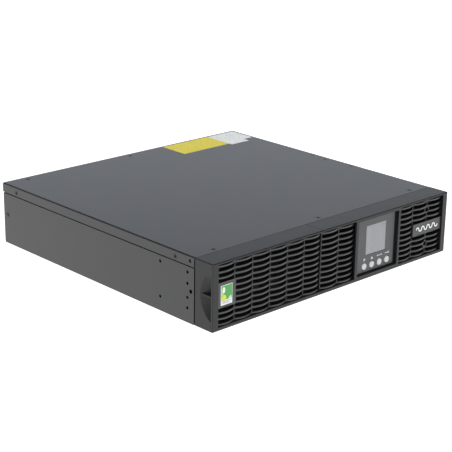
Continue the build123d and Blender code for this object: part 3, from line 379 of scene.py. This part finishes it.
def circuit_laminate():
    """Green solder mask over copper tracks, with tinned pads."""
    graph = Graph("circuit_laminate")
    tracks = graph.cells(120.0, feature="DISTANCE_TO_EDGE")
    pads = graph.cells(260.0)
    green = graph.ramp(tracks, [(0.02, (0.035, 0.20, 0.085)), (0.05, (0.02, 0.11, 0.05))])
    pad = graph.span(pads, 1.0, 0.0, 0.12, 0.14)
    graph.join(graph.mixed(pad, green, (0.62, 0.6, 0.55)), "Base Color")
    graph.join(graph.span(pad, 0.3, 0.22), "Roughness")
    graph.bump(tracks, strength=0.15, distance=0.00005)
    return graph.material


def insulation(name, colour):
    """Soft lead insulation with a faint extrusion grain."""
    graph = Graph(name)
    lines = graph.noise(scale=300.0, detail=3.0)
    graph.join(graph.ramp(lines, [(0.35, scaled(colour, 0.85)), (0.65, colour)]), "Base Color")
    graph.join(graph.span(lines, 0.38, 0.52), "Roughness")
    graph.bump(lines, strength=0.1, distance=0.00005)
    return graph.material


def glassy(name, colour, roughness, coat=0.0):
    """Smooth printed or polished plastic with faint wipe marks."""
    graph = Graph(name)
    wipes = graph.noise(scale=60.0, detail=5.0, rough=0.65)
    graph.join(graph.ramp(wipes, [(0.35, scaled(colour, 0.95)), (0.65, colour)]), "Base Color")
    graph.join(graph.span(wipes, roughness, roughness + 0.08, 0.35, 0.7), "Roughness")
    graph.put("Coat Weight", coat)
    graph.put("Coat Roughness", 0.12)
    return graph.material


def clear_lens():
    """Thin clear cover over the screen, with a soft haze."""
    graph = Graph("clear_lens")
    wipes = graph.noise(scale=80.0, detail=4.0)
    graph.join(graph.span(wipes, 0.16, 0.26, 0.3, 0.7), "Roughness")
    graph.put("Base Color", (0.95, 0.96, 0.97, 1.0))
    graph.put("Transmission Weight", 1.0)
    graph.put("IOR", 1.3)
    graph.put("Specular IOR Level", 0.35)
    return graph.material


def screen_glass():
    """Unlit liquid-crystal panel: pale grey with its faint upright electrode lines."""
    graph = Graph("screen_glass")
    columns = graph.noise(scale=60.0, detail=3.0, places=graph.stretched((6.0, 1.0, 0.15)))
    clouds = graph.noise(scale=40.0, detail=2.0)
    base = graph.ramp(columns, [(0.35, (0.37, 0.38, 0.395)), (0.65, (0.42, 0.425, 0.43))])
    base = graph.mixed(graph.span(clouds, 0.0, 0.3), base, (0.41, 0.395, 0.39))
    graph.join(base, "Base Color")
    graph.join(graph.span(columns, 0.3, 0.4), "Roughness")
    return graph.material


def printed_labels():
    """The cover's stickers: yellow on the left, white on the right, with rows of plain bars."""
    graph = Graph("printed_labels")
    split = graph.add("ShaderNodeSeparateXYZ")
    graph.link(graph.places, split.inputs[0])
    x = split.outputs["X"]
    y = split.outputs["Y"]
    is_white = graph.maths("GREATER_THAN", x, LABEL_SPLIT_X)
    wipes = graph.noise(scale=45.0, detail=3.0)
    yellow = graph.ramp(wipes, [(0.3, (0.74, 0.63, 0.05)), (0.7, (0.80, 0.69, 0.07))])
    white = graph.ramp(wipes, [(0.3, (0.80, 0.82, 0.82)), (0.7, (0.86, 0.88, 0.88))])
    paper = graph.mixed(is_white, yellow, white)
    rows = graph.maths("PINGPONG", y, LABEL_ROW / 2)
    row = graph.maths("LESS_THAN", rows, LABEL_ROW * LABEL_BAR / 2)
    words = graph.noise(scale=1.0, detail=1.0, places=graph.stretched((260.0, 2.0 / LABEL_ROW, 1.0)))
    ink = graph.maths("MULTIPLY", row, graph.maths("GREATER_THAN", words, 0.5))
    ink = graph.maths("MULTIPLY", ink, graph.span(is_white, *LABEL_INK))
    graph.join(graph.mixed(ink, paper, (0.06, 0.06, 0.07)), "Base Color")
    graph.join(graph.span(wipes, 0.46, 0.54, 0.35, 0.7), "Roughness")
    graph.put("Specular IOR Level", 0.3)
    return graph.material


MATERIALS = {}


def make_materials():
    """One material for each slot in the record."""
    coat = (0.0100, 0.0103, 0.0107)
    plastic = (0.0095, 0.0100, 0.0107)
    slats = (0.011, 0.011, 0.012)
    display = (0.068, 0.069, 0.072)
    fine = 3400.0
    MATERIALS.update({
        "powder_coat": textured_coat("powder_coat", coat, roughness=0.31, specular=0.66),
        "zinc_steel": zinc_sheet(),
        "bezel_plastic": textured_coat("bezel_plastic", plastic, roughness=0.37, grain=fine, specular=0.4),
        "grille_plastic": textured_coat("grille_plastic", slats, roughness=0.36, grain=fine, specular=0.85),
        "display_plastic": textured_coat("display_plastic", display, roughness=0.5, grain=fine),
        "display_lens": clear_lens(),
        "lcd_glass": screen_glass(),
        "button_plastic": textured_coat("button_plastic", (0.53, 0.54, 0.545), roughness=0.4, wear=0.0),
        "badge_print": glassy("badge_print", (0.75, 0.77, 0.76), 0.35),
        "label_print": printed_labels(),
        "mark_silver": glassy("mark_silver", (0.9, 0.91, 0.92), 0.3, coat=0.3),
        "black_screw": metal("black_screw", (0.06, 0.06, 0.062), 0.38),
        "nickel": metal("nickel", (0.64, 0.62, 0.58), 0.24),
        "battery_case": textured_coat("battery_case", (0.04, 0.04, 0.043), roughness=0.4, grain=1800.0),
        "lead_insulation": insulation("lead_insulation", (0.4, 0.02, 0.02)),
        "black_nylon": textured_coat("black_nylon", (0.018, 0.018, 0.019), roughness=0.42, grain=3000.0),
        "fan_plastic": textured_coat("fan_plastic", (0.02, 0.02, 0.021), roughness=0.4, grain=2400.0),
        "circuit_board": circuit_laminate(),
        "aluminium": metal("aluminium", (0.68, 0.68, 0.69), 0.34, brushed=(1.0, 0.02, 1.0)),
        "component_plastic": textured_coat("component_plastic", (0.03, 0.03, 0.03), roughness=0.5),
        "capacitor_sleeve": glassy("capacitor_sleeve", (0.03, 0.04, 0.09), 0.28, coat=0.4),
        "ferrite": textured_coat("ferrite", (0.08, 0.08, 0.082), roughness=0.7, grain=1200.0),
    })


def dress_nodes():
    """Gives every CAD node the material that its slot in the record names."""
    for part in frame["record"]["subparts"]:
        mesh = NODES[part["node"]].data
        mesh.materials.clear()
        mesh.materials.append(MATERIALS[part["material_slot"]])


SOFT_EDGES = {                   # width of the bevel in millimetres
    "front_bezel": 0.35, "battery_cover": 0.35, "display_housing": 0.2, "top_cover": 0.2,
    "chassis_base": 0.2, "rear_panel": 0.2, "slot_cover": 0.2, "battery_tray": 0.2,
    "front_plate": 0.2, "network_ports": 0.25, "usb_port": 0.25, "battery_1": 0.5,
    "battery_2": 0.5, "battery_3": 0.5, "middle_grille": 0.2, "right_grille": 0.2,
    "cover_grille": 0.2, "wave_mark": 0.12,
}
SHARP_ANGLE = 50                 # degrees: an edge that turns less than this stays as it is
SHALLOW_ANGLES = {"front_bezel": 28, "battery_cover": 28}    # the finger recess has a shallow rim
FLAT_ANGLE = 0.5                 # degrees: triangles that turn less than this are one face
WELD_GAP = 0.000001              # metres
BEVEL_SEGMENTS = 2


def soften_edges():
    """Small bevels on the CAD nodes' sharp edges; triangles in one plane act as one face."""
    for name, width in SOFT_EDGES.items():
        node = NODES[name]
        weld = node.modifiers.new("weld", "WELD")
        weld.merge_threshold = WELD_GAP
        flat = node.modifiers.new("flat_faces", "DECIMATE")
        flat.decimate_type = "DISSOLVE"
        flat.angle_limit = math.radians(FLAT_ANGLE)
        bevel = node.modifiers.new("soft_edges", "BEVEL")
        bevel.width = width * MM
        bevel.segments = BEVEL_SEGMENTS
        bevel.limit_method = "ANGLE"
        bevel.angle_limit = math.radians(SHALLOW_ANGLES.get(name, SHARP_ANGLE))
        bevel.use_clamp_overlap = True
        smooth = node.modifiers.new("even_normals", "WEIGHTED_NORMAL")
        smooth.keep_sharp = False


# ---- Printed marks: their shapes are drawn in millimetres on a plane ----
FILM = 0.00003                   # thickness of a printed film, in metres
DISC_CORNERS = 36
RING_STEPS = 28
CORNER_STEPS = 6
SIGN_LIFT = 3.4                  # from a button's top edge up to the middle of its sign
CARD_HALF = 52                   # half the width of a battery's card
CARD_START = 14                  # from the battery's front end to its card
CARD_LENGTH = 58
CARD_RADIUS = 3


def on_front(depth):
    """Places (x, z) in millimetres on a plane that faces the front."""
    return lambda u, v: (u * MM, FRONT_Y + depth * MM, v * MM)


def on_top(z):
    """Places (x, depth) in millimetres on a level plane."""
    return lambda u, v: (u * MM, FRONT_Y + v * MM, z)


def bar(left, right, low, high):
    """A rectangle."""
    return [[(left, low), (right, low), (right, high), (left, high)]]


def disc(x, z, wide, high=None):
    """An ellipse, or a circle if no height is given."""
    high = high or wide
    turns = [math.tau * k / DISC_CORNERS for k in range(DISC_CORNERS)]
    return [[(x + wide * math.cos(turn), z + high * math.sin(turn)) for turn in turns]]


def ring(x, z, outer, inner, start, end):
    """Part of a flat ring between two angles in degrees."""
    turns = [math.radians(start + (end - start) * k / RING_STEPS) for k in range(RING_STEPS + 1)]
    quads = []
    for a, b in zip(turns, turns[1:]):
        corners = ((outer, a), (outer, b), (inner, b), (inner, a))
        quads.append([(x + reach * math.cos(turn), z + reach * math.sin(turn)) for reach, turn in corners])
    return quads


def arrow(x, z, size, up):
    """A solid triangle pointing up or down."""
    tip = size if up else -size
    return [[(x - size, z - tip * 0.5), (x + size, z - tip * 0.5), (x, z + tip * 0.8)]]


def rounded_card(left, right, low, high, radius):
    """A rectangle with rounded corners, as one outline."""
    outline = []
    corners = ((right, high, 0), (left, high, 90), (left, low, 180), (right, low, 270))
    for x, y, start in corners:
        centre_x = x - radius if x == right else x + radius
        centre_y = y - radius if y == high else y + radius
        for k in range(CORNER_STEPS + 1):
            turn = math.radians(start + 90 * k / CORNER_STEPS)
            outline.append((centre_x + radius * math.cos(turn), centre_y + radius * math.sin(turn)))
    return [outline]


def print_sheet(name, shapes, place, body, material):
    """A thin printed film made of flat shapes, riding on a body."""
    points = []
    faces = []
    for shape in shapes:
        faces.append(tuple(range(len(points), len(points) + len(shape))))
        points += [place(u, v) for u, v in shape]
    mesh = bpy.data.meshes.new(name)
    mesh.from_pydata(points, [], faces)
    film = bpy.data.objects.new(name, mesh)
    bpy.context.scene.collection.objects.link(film)
    film.data.materials.append(material)
    thick = film.modifiers.new("film", "SOLIDIFY")
    thick.thickness = FILM
    thick.offset = 0
    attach(film, body)


def button_symbols():
    """Plain signs above the four buttons: power, up, up or down, and enter."""
    face_depth = (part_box("display_housing")[0].y - FRONT_Y) / MM
    xs = []
    for number in range(1, 5):
        first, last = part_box(f"button_{number}")
        xs.append((first.x + last.x) / 2 / MM)
    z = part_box("button_1")[1].z / MM + SIGN_LIFT
    shapes = ring(xs[0], z, 1.7, 1.15, 120, 420) + bar(xs[0] - 0.3, xs[0] + 0.3, z + 0.2, z + 2.1)
    shapes += arrow(xs[1], z, 1.8, True) + bar(xs[1] - 2.6, xs[1] + 2.6, z - 1.9, z - 1.4)
    shapes += arrow(xs[2] - 3.6, z, 1.5, True) + arrow(xs[2] + 3.6, z, 1.5, False)
    shapes += bar(xs[2] - 1.4, xs[2] + 1.4, z - 0.4, z + 0.4)
    shapes += bar(xs[3] - 4.0, xs[3] + 1.0, z - 0.4, z + 0.4)
    shapes += ring(xs[3] + 2.9, z, 1.5, 0.9, 0, 360)
    place = on_front(face_depth - FILM / 2 / MM)
    ink = glassy("ink_symbols", (0.78, 0.79, 0.8), 0.4)
    print_sheet("button_symbols", shapes, place, "display_module", ink)


def badge_picture():
    """Plain coloured shapes on the badge: a field, an oval, a disc, two leaves and two bars."""
    low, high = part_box("badge")
    left = low.x / MM
    right = high.x / MM
    foot = low.z / MM
    head = high.z / MM
    front = (low.y - FRONT_Y) / MM
    inks = {
        "field": ((0.065, 0.34, 0.065), bar(left + 1.0, right - 0.5, foot + 6.4, head - 0.7)),
        "oval": ((0.72, 0.80, 0.70), disc(left + 4.6, head - 6.2, 2.4, 4.0)),
        "leaves": ((0.50, 0.72, 0.42), [
            [(right - 7.5, foot + 6.6), (right - 1.2, foot + 6.6), (right - 2.2, foot + 11.0)],
            [(left + 1.2, foot + 12.6), (left + 4.0, foot + 13.4), (left + 2.4, foot + 17.0)],
        ]),
        "disc": ((0.62, 0.66, 0.04), disc(left + 4.9, foot + 9.2, 3.9)),
        "bars": ((0.34, 0.34, 0.36), bar(left + 2.0, right - 2.0, foot + 4.2, foot + 4.8)
                 + bar(left + 2.0, right - 5.0, foot + 2.2, foot + 2.8)),
    }
    for step, (name, (colour, shapes)) in enumerate(inks.items(), start=1):
        depth = front - (step - 0.5) * FILM / MM
        ink = glassy(f"ink_{name}", colour, 0.35)
        print_sheet(f"badge_{name}", shapes, on_front(depth), "battery_cover", ink)


def battery_marks(middle, start):
    """A band and five plain bars of uneven length."""
    band_half = CARD_HALF - 3
    marks = bar(middle - band_half, middle + band_half, start + 42, start + 54)
    for row in range(5):
        foot = start + 6 + 6 * row
        right = middle + 40 - 9 * (row % 3)
        marks += bar(middle - 46, right, foot, foot + 2.4)
    return marks


def battery_stickers():
    """A pale card with a coloured band and plain bars on each battery."""
    card = glassy("battery_card", (0.62, 0.63, 0.62), 0.4)
    band = glassy("battery_band", (0.05, 0.17, 0.38), 0.4)
    body = "battery_tray"
    for number in range(1, 4):
        low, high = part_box(f"battery_{number}")
        middle = (low.x + high.x) / 2 / MM
        start = (low.y - FRONT_Y) / MM + CARD_START
        end = start + CARD_LENGTH
        lift = high.z + FILM / 2
        sheet = rounded_card(middle - CARD_HALF, middle + CARD_HALF, start, end, CARD_RADIUS)
        print_sheet(f"battery_card_{number}", sheet, on_top(lift), body, card)
        marks = battery_marks(middle, start)
        print_sheet(f"battery_marks_{number}", marks, on_top(lift + FILM), body, band)


# ---- Contacts of the network jacks, in metres ----
JACK_X = 0.008                   # from the middle of the pair to the middle of a jack
CONTACTS = 8
CONTACT_PITCH = 0.00102
CONTACT_HALF = 0.00018           # half a wire's thickness
CONTACT_BEVEL = 0.00006
# A wire's bends: how far each lies inside the jacks' rear face and under their top.
CONTACT_BENDS = ((0.0015, 0.0029), (0.0030, 0.0033), (0.0100, 0.0061))


def square_rod(x, path, half, first):
    """Corners and faces of a bent four-sided rod along a path of (y, z), numbered from a first corner."""
    points = []
    for y, z in path:
        points += [(x - half, y, z - half), (x + half, y, z - half),
                   (x + half, y, z + half), (x - half, y, z + half)]
    faces = []
    last = first + 4 * (len(path) - 1)
    for start in range(first, last, 4):
        for side in range(4):
            after = (side + 1) % 4
            faces.append((start + side, start + after, start + 4 + after, start + 4 + side))
    faces += [(first + 3, first + 2, first + 1, first), tuple(range(last, last + 4))]
    return points, faces


def jack_contacts():
    """A row of sprung wires in each network jack."""
    low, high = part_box("network_ports")
    middle = (low.x + high.x) / 2
    path = [(high.y - inside, high.z - under) for inside, under in CONTACT_BENDS]
    gold = metal("contact_gold", (0.75, 0.55, 0.22), 0.25)
    points = []
    faces = []
    for jack_x in (middle - JACK_X, middle + JACK_X):
        for k in range(CONTACTS):
            x = jack_x + (k - (CONTACTS - 1) / 2) * CONTACT_PITCH
            rod_points, rod_faces = square_rod(x, path, CONTACT_HALF, len(points))
            points += rod_points
            faces += rod_faces
    mesh = bpy.data.meshes.new("jack_contacts")
    mesh.from_pydata(points, [], faces)
    wires = bpy.data.objects.new("jack_contacts", mesh)
    bpy.context.scene.collection.objects.link(wires)
    wires.data.materials.append(gold)
    bevel = wires.modifiers.new("soft_edges", "BEVEL")
    bevel.width = CONTACT_BEVEL
    bevel.segments = BEVEL_SEGMENTS
    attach(wires, "chassis")


bpy.context.scene.view_settings.view_transform = "Standard"
make_camera()
make_world()
make_floor()
for softbox, (place, power) in SOFTBOXES.items():
    make_softbox(softbox, place, power)
make_top_light()
make_materials()
dress_nodes()
soften_edges()
button_symbols()
badge_picture()
battery_stickers()
jack_contacts()
